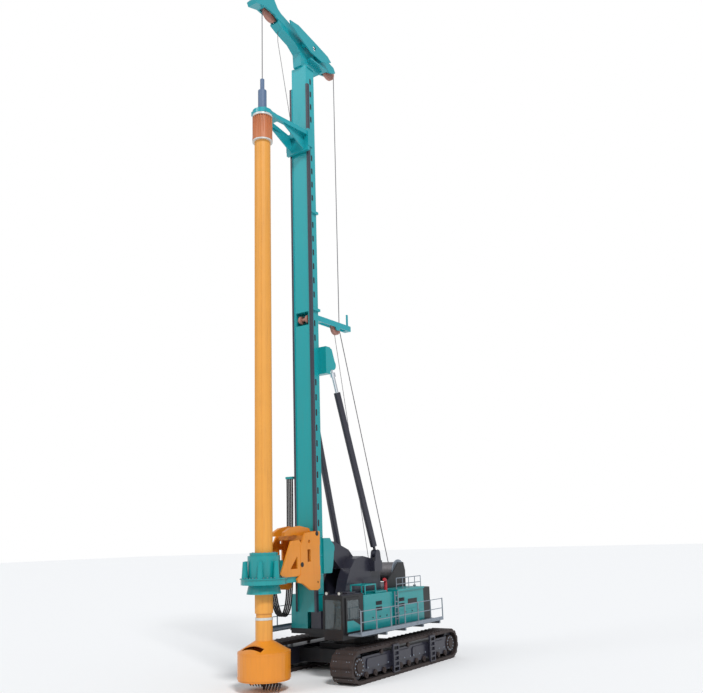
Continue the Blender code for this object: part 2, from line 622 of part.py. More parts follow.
part("mast_lower", mast_lower(), "teal", "mast_pivot")
part("mast_middle", mast_middle(), "teal", "mast_pivot")
part("mast_upper", mast_upper(), "teal", "mast_pivot")
part("mast_crown", crown(), "teal", "mast_pivot")
part("rope_arm", rope_arm(), "teal", "mast_pivot")
SEAT_HALF = CROWN_HALF - 0.08 - GAP
part("crown_front_sheave", sheave(*CROWN_FRONT, SHEAVE_RADIUS, SEAT_HALF), "sheave_red", "crown_front_axis")
part("crown_rear_sheave", sheave(*CROWN_REAR, SHEAVE_RADIUS, SEAT_HALF), "sheave_red", "crown_rear_axis")
part("rope_arm_sheave", sheave(*ARM_SHEAVE, 0.33, 0.12 - GAP, 0.08), "sheave_red", "arm_sheave_axis")
CROWD = join(cross_bar(0.08, 3.50, CROWD_Z, (-0.36 + GAP, 0.36 - GAP), 16),
             cross_bar(0.19, 3.50, CROWD_Z, (-0.24, -0.14)), cross_bar(0.19, 3.50, CROWD_Z, (0.14, 0.24)))
part("crowd_sheaves", CROWD, "sheave_red", "crowd_axis")


# --- rotary drive -----------------------------------------------------------------------------------
def carriage():
    back = box((RAIL_X[1] + GAP, 4.00), (-0.78, 0.78), (4.00, 6.05))
    made = [box((3.56, 3.90), tuple(sorted((sign * (RAIL_HALF + GAP), sign * 0.67))), z)
            for sign in (1, -1) for z in ((4.05, 4.60), (5.45, 6.03))]
    link = [(3.80, 4.25), (5.09, 4.25), (5.09, 5.45), (4.73, 5.98), (3.80, 6.05)]
    boat = [(5.36, 4.12), (5.14, 4.30), (3.80, 4.30), (3.80, 3.70), (3.98, 3.62), (4.44, 3.65),
            (4.97, 3.94), (5.28, 3.99)]
    gusset = [(6.25, DRIVE_DECK + GAP), (6.38, 4.36), (5.71, 5.66), (5.18, 5.70), (4.96, 5.50),
              (4.96, DRIVE_DECK + GAP)]
    window = [(5.77, 4.55), (5.30, 5.06), (5.30, 4.55)]
    slots = [[(4.40, 4.80), (4.62, 4.80), (4.62, 5.30), (4.40, 5.30)], ring_hole(4.50, 5.62, 0.08)]
    for sign in (1, -1):
        for outline, inset, proud, holes in ((link, 0, 0, slots), (boat, 0.010, 0.020, ()),
                                             (gusset, 0.005, -0.010, [window])):
            y = (sign * (CHEEK_Y[0] + inset), sign * (CHEEK_Y[1] + proud))[::sign]
            made.append(side_plate(outline, y, holes))
    arch = [(3.82, 6.00), (3.90, 6.18), (4.60, 6.28), (5.20, 6.20), (5.60, 6.02), (5.60, 5.86),
            (5.00, 5.90), (3.82, 5.80)]
    made += [side_plate(arch, (0.20, 0.36)), side_plate(arch, (-0.36, -0.20)),
             box((4.55, 4.75), (-0.74, 0.74), (5.70, 5.88)), box((3.98, 4.95), (-0.74, 0.74), (4.32, 4.42))]
    return join(back, *made)


def rotary_drive():
    low, flange_z, top, ring = DRIVE_Z
    case = upright(DRIVE_RADIUS, KELLY_X, 0, (flange_z, top - 0.22))
    deck = upright(DRIVE_RADIUS + 0.04, KELLY_X, 0, (DRIVE_DECK - 0.04, DRIVE_DECK))
    tongue = box((4.75, KELLY_X), (-CHEEK_Y[0] + GAP, CHEEK_Y[0] - GAP), (flange_z + 0.02, 4.24))
    cone = upright(0.70, KELLY_X, 0, (low, flange_z + 0.05), 32, 0.60)
    drum_top = upright(0.66, KELLY_X, 0, (top - 0.25, ring - 0.12))
    made = join(case, deck, tongue, cone, drum_top)
    for angle in (30, 78, 160, 200, 282, 330):
        x = KELLY_X + 0.80 * math.cos(math.radians(angle))
        y = 0.80 * math.sin(math.radians(angle))
        made = join(made, upright(0.14, x, y, (top - 0.25, top + 0.45), 16, 0.09))
    return cut(made, upright(SLEEVE_RADIUS + 0.006, KELLY_X, 0, (low - 0.1, ring + 0.1), 32))


def drive_sleeve():
    tube = upright(SLEEVE_RADIUS - 0.006, KELLY_X, 0, (DRIVE_Z[0], DRIVE_Z[3]), 32)
    rim = upright(0.58, KELLY_X, 0, (DRIVE_Z[3] - 0.12 + GAP, DRIVE_Z[3]), 32)
    bore = upright(KELLY_RADIUS + 0.012, KELLY_X, 0, (DRIVE_Z[0] - 0.1, DRIVE_Z[3] + 0.1), 32)
    return cut(join(tube, rim), bore)


part("carriage", carriage(), "orange", "drive_pivot")
part("rotary_drive", rotary_drive(), "teal", "drive_pivot")
part("drive_sleeve", drive_sleeve(), "teal", "drive_pivot")


# --- kelly bar and bucket ---------------------------------------------------------------------------
def kelly_guide():
    z = (DAMPER_TOP + GAP, DAMPER_TOP + 0.22)
    beam = floor_plate([(3.86, -0.62), (3.86, 0.62), (5.9, 0.40), (KELLY_X + 0.3, 0.42),
                        (KELLY_X + 0.3, -0.42), (5.9, -0.40)], z)
    inner = floor_plate([(4.05, -0.42), (4.05, 0.42), (5.7, 0.22), (5.7, -0.22)], (z[0] - 0.1, z[1] + 0.1))
    back = box((RAIL_X[1] + RUN, 3.90), (-0.66, 0.66), (z[0] - 0.80, z[1] + 0.1))
    shoes = [box((3.56, 3.90), tuple(sorted((sign * (RAIL_HALF + GAP), sign * 0.68))), (z[0] - 0.6, z[1] + 0.1))
             for sign in (1, -1)]
    webs = [side_plate([(3.80, z[0] - 0.75), (5.6, z[0] + 0.05), (3.80, z[0] + 0.05)],
                       tuple(sorted((sign * 0.34, sign * 0.40)))) for sign in (1, -1)]
    ring = upright(0.46, KELLY_X, 0, z)
    made = join(cut(beam, inner), ring, back, *shoes, *webs)
    return cut(made, upright(0.25, KELLY_X, 0, (z[0] - 0.2, z[1] + 0.2)))


def kelly_outer():
    tube = upright(KELLY_RADIUS, KELLY_X, 0, (KELLY_BOTTOM, KELLY_TOP), 32)
    head = upright(0.24, KELLY_X, 0, (KELLY_TOP - 0.1, DAMPER_TOP - 0.02), 32)
    made = join(tube, head)
    return cut(made, upright(0.2012, KELLY_X, 0, (KELLY_BOTTOM - 0.1, DAMPER_TOP + 0.1), 24))


def kelly_damper():
    cage = upright(0.47, KELLY_X, 0, (KELLY_TOP + GAP, DAMPER_TOP), 32, 0.40)
    return cut(cage, upright(0.2405, KELLY_X, 0, (KELLY_TOP - 0.1, DAMPER_TOP + 0.1), 32))


def kelly_inner():
    bar = upright(0.20, KELLY_X, 0, (BUCKET_RIM + 0.35, 26.20), 24)
    collar = upright(0.32, KELLY_X, 0, (2.65, KELLY_BOTTOM - GAP), 32)
    box_top = upright(0.345, KELLY_X, 0, (1.87, 2.67), 24)
    swivel = upright(0.10, KELLY_X, 0, (26.15, 26.80), 16)
    return join(bar, collar, box_top, swivel)


def bucket():
    wall = upright(BUCKET_RADIUS, KELLY_X, 0, (BUCKET_FLOOR + GAP, BUCKET_RIM), 32)
    lid = upright(BUCKET_RADIUS, KELLY_X, 0, (BUCKET_RIM - 0.01, BUCKET_RIM + 0.39 - GAP), 48, 0.36)
    room = upright(BUCKET_RADIUS - BUCKET_WALL, KELLY_X, 0, (BUCKET_FLOOR - 0.1, BUCKET_RIM), 32)
    dome = upright(BUCKET_RADIUS - BUCKET_WALL, KELLY_X, 0, (BUCKET_RIM - 0.01, BUCKET_RIM + 0.34), 48, 0.33)
    made = cut(join(wall, lid), join(room, dome))
    mouths = [box((KELLY_X + 0.55, KELLY_X + 0.80), (-0.5, 0.5), (BUCKET_RIM, BUCKET_RIM + 0.3)),
              box((KELLY_X - 0.80, KELLY_X - 0.55), (-0.5, 0.5), (BUCKET_RIM, BUCKET_RIM + 0.3))]
    return cut(made, *mouths, upright(0.21, KELLY_X, 0, (BUCKET_RIM, 3.0)))


def bucket_door():
    plate = upright(BUCKET_RADIUS - 0.02, KELLY_X, 0, (BUCKET_FLOOR - 0.05, BUCKET_FLOOR), 32)
    teeth = [box((KELLY_X + x - 0.05, KELLY_X + x + 0.05), (-0.04, 0.04), (BUCKET_FLOOR - 0.14, BUCKET_FLOOR - 0.04))
             for x in (-0.7, -0.45, -0.2, 0.2, 0.45, 0.7)]
    return join(plate, *teeth)


part("kelly_guide", kelly_guide(), "teal", "guide_pivot")
part("kelly_outer", kelly_outer(), "orange", "kelly_pivot")
part("kelly_damper", kelly_damper(), "sheave_red", "kelly_pivot")
part("kelly_inner", kelly_inner(), "grey", "kelly_pivot")
part("bucket", bucket(), "orange", "kelly_pivot")
part("bucket_door", bucket_door(), "orange", "door_hinge")


# --- feed hoses: each hangs from the mast to the drive ------------------------------------------------
HOSE_RADIUS = 0.035
HOSE_ROUTE = [(3.45, 8.40), (3.45, 7.60), (3.46, 6.60), (3.48, 5.60), (3.50, 4.60), (3.54, 3.70),
              (3.66, 2.95), (3.92, 2.55), (4.26, 2.62), (4.50, 3.00), (4.62, 3.40), (4.78, 3.72),
              (5.05, 3.88), (5.40, 3.90)]
HOSE_Y = (-0.90, -1.00, -1.10, -1.20)


def smooth_route(points, share):
    """A point of the Catmull-Rom curve through the route's points."""
    spans = len(points) - 1
    i = min(int(share * spans), spans - 1)
    t = share * spans - i
    pad = [points[0], *points, points[-1]]
    a, b, c, d = pad[i:i + 4]
    return [0.5 * (2 * q + (r - p) * t + (2 * p - 5 * q + 4 * r - s) * t * t
                   + (3 * q - p - 3 * r + s) * t ** 3) for p, q, r, s in zip(a, b, c, d)]


def hose(y):
    curve = bpy.data.curves.new("hose", "CURVE")
    curve.dimensions = "3D"
    curve.bevel_depth = HOSE_RADIUS
    curve.bevel_resolution = 2
    curve.use_fill_caps = True
    spline = curve.splines.new("POLY")
    count = 36
    spline.points.add(count - 1)
    for i, point in enumerate(spline.points):
        x, z = smooth_route(HOSE_ROUTE, i / (count - 1))
        point.co = (x, y, z, 1.0)
    made = bpy.data.objects.new("hose", curve)
    PARTS.objects.link(made)
    graph = bpy.context.evaluated_depsgraph_get()
    mesh = bpy.data.meshes.new_from_object(made.evaluated_get(graph))
    bpy.data.objects.remove(made)
    work = bmesh.new()
    work.from_mesh(mesh)
    bmesh.ops.remove_doubles(work, verts=work.verts, dist=1e-5)
    return from_bmesh(work)


for number, y in enumerate(HOSE_Y, 1):
    part("feed_hose_%d" % number, hose(y), "rubber", "drive_pivot")
HANGER = join(box((3.10, 3.50), (-1.26, -0.84), (8.40 + GAP, 8.50)),
              box((3.10, 3.30), (-0.88, -0.44 - GAP), (8.42, 8.49)))
part("hose_bracket", HANGER, "teal", "mast_pivot")
GLAND = join(box((5.40 + GAP, 5.60), (-1.26, -0.84), (3.82, 3.98)),
             box((5.42, 5.74), (-0.88, -0.50), (3.84, 4.0 - GAP)))
part("hose_manifold", GLAND, "teal", "drive_pivot")
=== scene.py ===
"""Looks of the rotary piling rig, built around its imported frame. Metres, +X forward, +Y left, +Z up."""
import math

import bmesh
import bpy
from mathutils import Matrix, Vector


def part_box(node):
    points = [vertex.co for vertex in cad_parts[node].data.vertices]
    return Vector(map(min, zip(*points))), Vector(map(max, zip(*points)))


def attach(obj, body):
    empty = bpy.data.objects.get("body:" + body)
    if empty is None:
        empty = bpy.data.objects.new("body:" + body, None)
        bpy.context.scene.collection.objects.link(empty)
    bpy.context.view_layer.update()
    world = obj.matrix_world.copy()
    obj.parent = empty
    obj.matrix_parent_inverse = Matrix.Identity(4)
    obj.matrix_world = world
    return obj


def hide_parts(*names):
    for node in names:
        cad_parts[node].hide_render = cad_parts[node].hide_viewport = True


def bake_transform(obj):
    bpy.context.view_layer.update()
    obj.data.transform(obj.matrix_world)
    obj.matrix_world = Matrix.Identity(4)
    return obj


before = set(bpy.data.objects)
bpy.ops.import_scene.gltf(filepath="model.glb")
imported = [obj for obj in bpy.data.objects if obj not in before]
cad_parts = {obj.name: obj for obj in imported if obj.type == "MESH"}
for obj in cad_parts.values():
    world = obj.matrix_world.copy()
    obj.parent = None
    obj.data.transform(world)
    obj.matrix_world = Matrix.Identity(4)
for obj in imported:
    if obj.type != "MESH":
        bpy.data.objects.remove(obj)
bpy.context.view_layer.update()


def corners(node):
    low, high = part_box(node)
    return Vector(low), Vector(high)


def middle(node):
    low, high = corners(node)
    return (low + high) / 2


SLEW = middle("slew_bearing").x          # everything on the machine is placed from the slewing axis
KELLY = middle("kelly_outer").x
PROUD = 0.002                            # how far trim stands off the face that carries it


def machine(x, y, z):
    """A point given from the slewing axis, in the frame's own coordinates."""
    return Vector((x + SLEW, y, z))


# --- shader node groups -----------------------------------------------------------------------------
def weathering_group():
    """Soft colour drift, dust in streaks drawn out along the height, and fine surface grain."""
    tree = bpy.data.node_groups.new("weathered_paint", "ShaderNodeTree")
    face = tree.interface
    for name, kind, value in (("Colour", "NodeSocketColor", (0.5, 0.5, 0.5, 1)),
                              ("Dirt Colour", "NodeSocketColor", (0.2, 0.15, 0.11, 1)),
                              ("Drift", "NodeSocketFloat", 0.12), ("Dirt", "NodeSocketFloat", 0.35),
                              ("Roughness", "NodeSocketFloat", 0.4), ("Grain Scale", "NodeSocketFloat", 60)):
        face.new_socket(name, in_out="INPUT", socket_type=kind).default_value = value
    for name, kind in (("Colour", "NodeSocketColor"), ("Roughness", "NodeSocketFloat"),
                       ("Height", "NodeSocketFloat")):
        face.new_socket(name, in_out="OUTPUT", socket_type=kind)
    nodes, links = tree.nodes, tree.links
    given = nodes.new("NodeGroupInput")
    result = nodes.new("NodeGroupOutput")
    place = nodes.new("ShaderNodeTexCoord")
    broad = noise(tree, place, 1.1, 4)
    streak_map = nodes.new("ShaderNodeMapping")
    streak_map.inputs["Scale"].default_value = (5.0, 5.0, 0.35)
    links.new(place.outputs["Object"], streak_map.inputs["Vector"])
    streak = nodes.new("ShaderNodeTexNoise")
    streak.inputs["Scale"].default_value = 1.6
    streak.inputs["Detail"].default_value = 6
    links.new(streak_map.outputs["Vector"], streak.inputs["Vector"])
    fine = noise(tree, place, 60, 3)
    links.new(given.outputs["Grain Scale"], fine.inputs["Scale"])
    drift = math_node(tree, "MULTIPLY_ADD", broad.outputs["Fac"], given.outputs["Drift"])
    half = math_node(tree, "MULTIPLY", given.outputs["Drift"], -0.5)
    links.new(half.outputs[0], drift.inputs[2])
    bright = math_node(tree, "ADD", drift.outputs[0], 1.0)
    shade = nodes.new("ShaderNodeHueSaturation")
    links.new(given.outputs["Colour"], shade.inputs["Color"])
    links.new(bright.outputs[0], shade.inputs["Value"])
    spots = ramp(tree, streak.outputs["Fac"], 0.52, 0.78)
    amount = math_node(tree, "MULTIPLY", spots, given.outputs["Dirt"])
    mixed = nodes.new("ShaderNodeMix")
    mixed.data_type = "RGBA"
    links.new(amount.outputs[0], mixed.inputs["Factor"])
    links.new(shade.outputs["Color"], mixed.inputs["A"])
    links.new(given.outputs["Dirt Colour"], mixed.inputs["B"])
    rough = math_node(tree, "MULTIPLY_ADD", amount.outputs[0], 0.5)
    links.new(given.outputs["Roughness"], rough.inputs[2])
    links.new(mixed.outputs["Result"], result.inputs["Colour"])
    links.new(rough.outputs[0], result.inputs["Roughness"])
    links.new(fine.outputs["Fac"], result.inputs["Height"])
    return tree


def noise(tree, place, scale, detail):
    made = tree.nodes.new("ShaderNodeTexNoise")
    made.inputs["Scale"].default_value = scale
    made.inputs["Detail"].default_value = detail
    tree.links.new(place.outputs["Object"], made.inputs["Vector"])
    return made


def math_node(tree, operation, first, second):
    made = tree.nodes.new("ShaderNodeMath")
    made.operation = operation
    for socket, value in zip(made.inputs, (first, second)):
        if isinstance(value, (int, float)):
            socket.default_value = value
        else:
            tree.links.new(value, socket)
    return made


def ramp(tree, source, low, high):
    """Rises from 0 to 1 between two values of the source."""
    made = tree.nodes.new("ShaderNodeMapRange")
    made.inputs["From Min"].default_value = low
    made.inputs["From Max"].default_value = high
    tree.links.new(source, made.inputs["Value"])
    return made.outputs["Result"]


WEATHER = weathering_group()


def finish(name, colour, rough, metal=0.0, drift=0.14, dirt=0.3, dirt_colour=(0.10, 0.08, 0.06),
           grain=60, bump=0.15, coat=0.0):
    made = bpy.data.materials.new(name)
    made.use_nodes = True
    tree = made.node_tree
    shader = tree.nodes["Principled BSDF"]
    shader.inputs["Metallic"].default_value = metal
    shader.inputs["Coat Weight"].default_value = coat
    group = tree.nodes.new("ShaderNodeGroup")
    group.node_tree = WEATHER
    for key, value in (("Colour", (*colour, 1)), ("Dirt Colour", (*dirt_colour, 1)), ("Drift", drift),
                       ("Dirt", dirt), ("Roughness", rough), ("Grain Scale", grain)):
        group.inputs[key].default_value = value
    relief = tree.nodes.new("ShaderNodeBump")
    relief.inputs["Strength"].default_value = bump
    relief.inputs["Distance"].default_value = 0.002
    tree.links.new(group.outputs["Height"], relief.inputs["Height"])
    tree.links.new(relief.outputs["Normal"], shader.inputs["Normal"])
    tree.links.new(group.outputs["Colour"], shader.inputs["Base Color"])
    tree.links.new(group.outputs["Roughness"], shader.inputs["Roughness"])
    return made


TEAL = (0.0, 0.27, 0.28)
FINISHES = {
    "teal": finish("teal_paint", TEAL, 0.32, coat=0.3, dirt=0.12, drift=0.10),
    "pale_teal": finish("sunlit_teal_paint", (0.004, 0.33, 0.38), 0.34, coat=0.3, dirt=0.06),
    "orange": finish("orange_paint", (0.70, 0.24, 0.012), 0.36, coat=0.25, dirt=0.18,
                     dirt_colour=(0.30, 0.11, 0.02)),
    "kelly": finish("kelly_paint", (0.74, 0.33, 0.055), 0.42, dirt=0.35, dirt_colour=(0.42, 0.17, 0.04)),
    "dark_frame": finish("dark_blue_paint", (0.022, 0.022, 0.036), 0.38, coat=0.2, dirt=0.25,
                         dirt_colour=(0.06, 0.05, 0.05)),
    "black": finish("black_paint", (0.010, 0.010, 0.012), 0.42, dirt=0.3, dirt_colour=(0.04, 0.035, 0.03)),
    "track_steel": finish("worn_track_steel", (0.052, 0.038, 0.036), 0.55, metal=0.55, dirt=0.6,
                          dirt_colour=(0.075, 0.05, 0.04), grain=35, bump=0.5),
    "grey": finish("grey_steel", (0.24, 0.28, 0.33), 0.42, metal=0.3, dirt=0.25),
    "sheave_red": finish("red_primer", (0.42, 0.19, 0.15), 0.5, dirt=0.3),
    "damper": finish("damper_paint", (0.52, 0.16, 0.055), 0.45, dirt=0.3),
    "chrome": finish("polished_rod", (0.72, 0.75, 0.79), 0.12, metal=1.0, drift=0.03, dirt=0.03, bump=0.02),
    "rope": finish("wire_rope", (0.20, 0.19, 0.20), 0.5, metal=0.6, dirt=0.3, grain=220, bump=0.6),
    "rubber": finish("hose_rubber", (0.012, 0.012, 0.013), 0.6, dirt=0.2, dirt_colour=(0.05, 0.05, 0.05)),
    "seat": finish("seat_cloth", (0.02, 0.02, 0.024), 0.9, grain=300, bump=0.5),
    "red": finish("red_paint", (0.45, 0.02, 0.03), 0.35, dirt=0.1),
    "pale": finish("pale_steel", (0.62, 0.64, 0.62), 0.4, metal=0.2, dirt=0.15),
}


def glass_finish():
    made = bpy.data.materials.new("tinted_glass")
    made.use_nodes = True
    shader = made.node_tree.nodes["Principled BSDF"]
    shader.inputs["Base Color"].default_value = (0.10, 0.13, 0.14, 1)
    shader.inputs["Roughness"].default_value = 0.05
    shader.inputs["Alpha"].default_value = 0.55
    shader.inputs["Coat Weight"].default_value = 0.6
    return made


FINISHES["glass"] = glass_finish()


def mast_finish():
    """Teal box section with its two dark guide rails on the front corners."""
    made = FINISHES["teal"].copy()
    made.name = "mast_paint"
    tree = made.node_tree
    place = tree.nodes.new("ShaderNodeTexCoord")
    split = tree.nodes.new("ShaderNodeSeparateXYZ")
    tree.links.new(place.outputs["Object"], split.inputs[0])
    side = math_node(tree, "ABSOLUTE", split.outputs["Y"], 0)
    outside = math_node(tree, "GREATER_THAN", side.outputs[0], RAIL_EDGE)
    forward = math_node(tree, "GREATER_THAN", split.outputs["X"], machine(3.575, 0, 0).x)
    rail = math_node(tree, "MULTIPLY", outside.outputs[0], forward.outputs[0])
    group = next(n for n in tree.nodes if n.type == "GROUP")
    shader = tree.nodes["Principled BSDF"]
    mixed = tree.nodes.new("ShaderNodeMix")
    mixed.data_type = "RGBA"
    mixed.inputs["B"].default_value = (0.03, 0.032, 0.05, 1)
    tree.links.new(rail.outputs[0], mixed.inputs["Factor"])
    tree.links.new(painted_top_light(tree, split, group), mixed.inputs["A"])
    tree.links.new(mixed.outputs["Result"], shader.inputs["Base Color"])
    return made


def painted_top_light(tree, split, group):
    """Painted light: the paint is mixed towards a brighter teal towards the top of the mast, where more light falls."""
    height = ramp(tree, split.outputs["Z"], 4.0, 29.0)
    paler = tree.nodes.new("ShaderNodeMix")
    paler.data_type = "RGBA"
    # painted light: the brighter teal that the top of the mast is mixed towards
    paler.inputs["B"].default_value = (0.012, 0.42, 0.48, 1)
    strength = math_node(tree, "MULTIPLY", height, 0.75)
    tree.links.new(strength.outputs[0], paler.inputs["Factor"])
    tree.links.new(group.outputs["Colour"], paler.inputs["A"])
    return paler.outputs["Result"]


RAIL_EDGE = 0.443
FINISHES["mast"] = mast_finish()


def kelly_core_finish():
    """Orange below, with the blue-grey swivel at its top end."""
    made = FINISHES["kelly"].copy()
    made.name = "kelly_core_paint"
    tree = made.node_tree
    place = tree.nodes.new("ShaderNodeTexCoord")
    split = tree.nodes.new("ShaderNodeSeparateXYZ")
    tree.links.new(place.outputs["Object"], split.inputs[0])
    high = math_node(tree, "GREATER_THAN", split.outputs["Z"], 20.0)
    group = next(n for n in tree.nodes if n.type == "GROUP")
    mixed = tree.nodes.new("ShaderNodeMix")
    mixed.data_type = "RGBA"
    mixed.inputs["B"].default_value = (0.10, 0.16, 0.27, 1)
    tree.links.new(high.outputs[0], mixed.inputs["Factor"])
    tree.links.new(group.outputs["Colour"], mixed.inputs["A"])
    tree.links.new(mixed.outputs["Result"], tree.nodes["Principled BSDF"].inputs["Base Color"])
    return made


FINISHES["kelly_core"] = kelly_core_finish()

CAD_FINISH = {
    "teal": ("hood_front_left", "hood_rear_left", "hood_right", "hose_bracket", "rotary_drive",
             "hose_manifold", "drive_sleeve"),
    "pale_teal": ("mast_crown", "kelly_guide", "rope_arm"),
    "mast": ("mast_lower", "mast_middle", "mast_upper"),
    "orange": ("carriage", "bucket", "bucket_door"),
    "kelly": ("kelly_outer",),
    "kelly_core": ("kelly_inner",),
    "black": ("carbody", "upper_frame", "counterweight", "cab", "cab_door", "control_console",
              "winch_frame"),
    "dark_frame": ("track_frame_left", "track_frame_right", "mast_support", "stay_barrel_left",
                   "stay_barrel_right"),
    "track_steel": ("track_left", "track_right"),
    "grey": ("slew_bearing", "engine", "walkway_left", "walkway_right", "aux_winch_drum",
             "main_winch_drum"),
    "chrome": ("stay_rod_left", "stay_rod_right"),
    "glass": ("windscreen", "cab_window_right", "door_window"),
    "seat": ("operator_seat",),
    "sheave_red": ("crown_front_sheave", "crown_rear_sheave", "rope_arm_sheave", "crowd_sheaves"),
    "damper": ("kelly_damper",),
}
for finish_name, node_names in CAD_FINISH.items():
    for node in node_names:
        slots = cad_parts[node].data.materials
        slots.clear()
        slots.append(FINISHES[finish_name])


# --- mesh helpers -------------------------------------------------------------------------------------
class Pile:
    """Many small solids gathered into one piece."""

    def __init__(self):
        self.work = bmesh.new()

    def box(self, x, y, z):
        size = Matrix.Diagonal((abs(x[1] - x[0]), abs(y[1] - y[0]), abs(z[1] - z[0]), 1.0))
        place = Matrix.Translation(machine((x[0] + x[1]) / 2, (y[0] + y[1]) / 2, (z[0] + z[1]) / 2))
        bmesh.ops.create_cube(self.work, size=1.0, matrix=place @ size)

    def rod(self, start, end, radius, sides=12, end_radius=None):
        start, end = machine(*start), machine(*end)
        run = end - start
        turn = run.to_track_quat("Z", "Y").to_matrix().to_4x4()
        bmesh.ops.create_cone(self.work, cap_ends=True, segments=sides, radius1=radius,
                              radius2=radius if end_radius is None else end_radius, depth=run.length,
                              matrix=Matrix.Translation((start + end) / 2) @ turn)

    def plate(self, outline, y):
        """An outline of (x, z) points, thick along Y."""
        flats = []
        for side in y:
            flats.append([self.work.verts.new(machine(u, side, v)) for u, v in outline])
        self.work.faces.new(flats[0])
        self.work.faces.new(list(reversed(flats[1])))
        for i in range(len(outline)):
            j = (i + 1) % len(outline)
            self.work.faces.new((flats[0][i], flats[1][i], flats[1][j], flats[0][j]))

    def piece(self, name, body, look, bevel=0.0):
        bmesh.ops.recalc_face_normals(self.work, faces=self.work.faces)
        mesh = bpy.data.meshes.new(name)
        self.work.to_mesh(mesh)
        self.work.free()
        made = bpy.data.objects.new(name, mesh)
        bpy.context.scene.collection.objects.link(made)
        if bevel:
            edge = made.modifiers.new("edge", "BEVEL")
            edge.width = bevel
            edge.segments = 2
            edge.limit_method = "ANGLE"
        mesh.shade_smooth()
        mesh.set_sharp_from_angle(angle=math.radians(40))
        return dress(made, body, look)


def dress(made, body, look):
    made.data.materials.clear()
    made.data.materials.append(FINISHES[look])
    if body:                             # a piece that spans two bodies is attached to neither
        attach(made, body)
    return made


def repeat_tree():
    """Geometry Nodes: one piece at every point, turned by the point's own turn, then made real."""
    tree = bpy.data.node_groups.new("repeat_on_points", "GeometryNodeTree")
    face = tree.interface
    face.new_socket("Points", in_out="INPUT", socket_type="NodeSocketGeometry")
    face.new_socket("Piece", in_out="INPUT", socket_type="NodeSocketObject")
    face.new_socket("Finish", in_out="INPUT", socket_type="NodeSocketMaterial")
    face.new_socket("Result", in_out="OUTPUT", socket_type="NodeSocketGeometry")
    nodes, links = tree.nodes, tree.links
    given = nodes.new("NodeGroupInput")
    result = nodes.new("NodeGroupOutput")
    info = nodes.new("GeometryNodeObjectInfo")
    turn = nodes.new("GeometryNodeInputNamedAttribute")
    turn.data_type = "FLOAT_VECTOR"
    turn.inputs["Name"].default_value = "turn"
    rotation = nodes.new("FunctionNodeEulerToRotation")
    place = nodes.new("GeometryNodeInstanceOnPoints")
    real = nodes.new("GeometryNodeRealizeInstances")
    paint = nodes.new("GeometryNodeSetMaterial")
    links.new(given.outputs["Piece"], info.inputs["Object"])
    links.new(given.outputs["Points"], place.inputs["Points"])
    links.new(info.outputs["Geometry"], place.inputs["Instance"])
    links.new(turn.outputs["Attribute"], rotation.inputs["Euler"])
    links.new(rotation.outputs["Rotation"], place.inputs["Rotation"])
    links.new(place.outputs["Instances"], real.inputs["Geometry"])
    links.new(real.outputs["Geometry"], paint.inputs["Geometry"])
    links.new(given.outputs["Finish"], paint.inputs["Material"])
    links.new(paint.outputs["Geometry"], result.inputs["Result"])
    return tree


REPEAT = repeat_tree()


def repeated(name, template, places, body, look):
    """The template at every (point, turn) of places, as one piece."""
    cloud = bpy.data.meshes.new("places")
    cloud.from_pydata([machine(*point) for point, _ in places], [], [])
    turns = cloud.attributes.new("turn", "FLOAT_VECTOR", "POINT")
    for item, (_, turn) in zip(turns.data, places):
        item.vector = turn
    carrier = bpy.data.objects.new("places", cloud)
    bpy.context.scene.collection.objects.link(carrier)
    step = carrier.modifiers.new("repeat", "NODES")
    step.node_group = REPEAT
    inputs = {s.name: s.identifier for s in REPEAT.interface.items_tree if s.in_out == "INPUT"}
    step[inputs["Piece"]] = template
    step[inputs["Finish"]] = FINISHES[look]
    graph = bpy.context.evaluated_depsgraph_get()
    mesh = bpy.data.meshes.new_from_object(carrier.evaluated_get(graph))
    bpy.data.objects.remove(carrier)
    bpy.data.objects.remove(template)
    made = bpy.data.objects.new(name, mesh)
    bpy.context.scene.collection.objects.link(made)
    mesh.set_sharp_from_angle(angle=math.radians(40))
    return dress(made, body, look)


def template_from(work):
    bmesh.ops.recalc_face_normals(work, faces=work.faces)
    mesh = bpy.data.meshes.new("template")
    work.to_mesh(mesh)
    work.free()
    made = bpy.data.objects.new("template", mesh)
    bpy.context.scene.collection.objects.link(made)
    return made


def bolt(radius=0.025, height=0.02):
    """A hexagon head on a washer, standing along Z."""
    work = bmesh.new()
    for wide, low, high, sides in ((radius * 1.35, 0, height * 0.25, 12), (radius, 0, height, 6)):
        bmesh.ops.create_cone(work, cap_ends=True, segments=sides, radius1=wide, radius2=wide * 0.95,
                              depth=high - low, matrix=Matrix.Translation((0, 0, (low + high) / 2)))
    return template_from(work)


def block(size, at=(0, 0, 0)):
    work = bmesh.new()
    bmesh.ops.create_cube(work, size=1.0, matrix=Matrix.Translation(at) @ Matrix.Diagonal((*size, 1)))
    bmesh.ops.bevel(work, geom=work.edges[:], offset=min(size) * 0.12, segments=1, affect="EDGES")
    return template_from(work)


QUARTER = math.pi / 2
TO_LEFT = (-QUARTER, 0, 0)
TO_RIGHT = (QUARTER, 0, 0)
UP = (0, 0, 0)


def tube(name, points, radius, body, look, sides=2):
    """A bent bar or rope along straight stretches or a list of close points."""
    curve = bpy.data.curves.new(name, "CURVE")
    curve.dimensions = "3D"
    curve.bevel_depth = radius
    curve.bevel_resolution = sides
    curve.use_fill_caps = True
    spline = curve.splines.new("POLY")
    spline.points.add(len(points) - 1)
    for knot, point in zip(spline.points, points):
        knot.co = (*machine(*point), 1)
    made = bpy.data.objects.new(name, curve)
    bpy.context.scene.collection.objects.link(made)
    curve.materials.append(FINISHES[look])
    graph = bpy.context.evaluated_depsgraph_get()
    mesh = bpy.data.meshes.new_from_object(made.evaluated_get(graph))
    bpy.data.objects.remove(made)
    solid = bpy.data.objects.new(name, mesh)
    bpy.context.scene.collection.objects.link(solid)
    return dress(solid, body, look)


